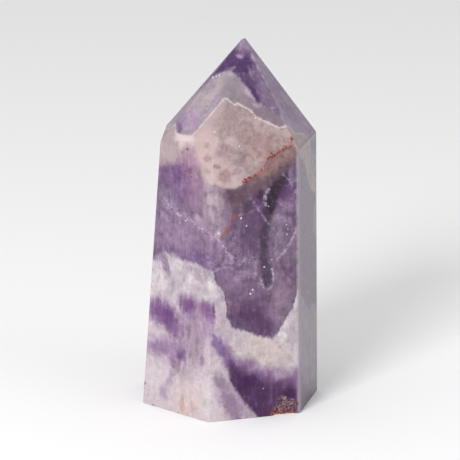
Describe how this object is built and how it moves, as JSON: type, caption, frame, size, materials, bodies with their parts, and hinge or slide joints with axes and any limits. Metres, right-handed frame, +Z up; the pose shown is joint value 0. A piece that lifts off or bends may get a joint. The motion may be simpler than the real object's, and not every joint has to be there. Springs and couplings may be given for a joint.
{
  "type": "chevron amethyst point",
  "caption": "Free-standing polished tower of banded amethyst with flat ground sides, a pointed tip and a level sawn base.",
  "frame": {"origin": "on the sawn base, under the middle of the box around the tower", "axes": "+Z up along the tower, -Y towards the viewer of the picture, +X to the viewer's right"},
  "size_m": [0.043, 0.0414, 0.09],
  "materials": {
    "amethyst": "polished"
  },
  "bodies": {
    "root": {"crystal_point": "amethyst"}
  },
  "joints": []
}
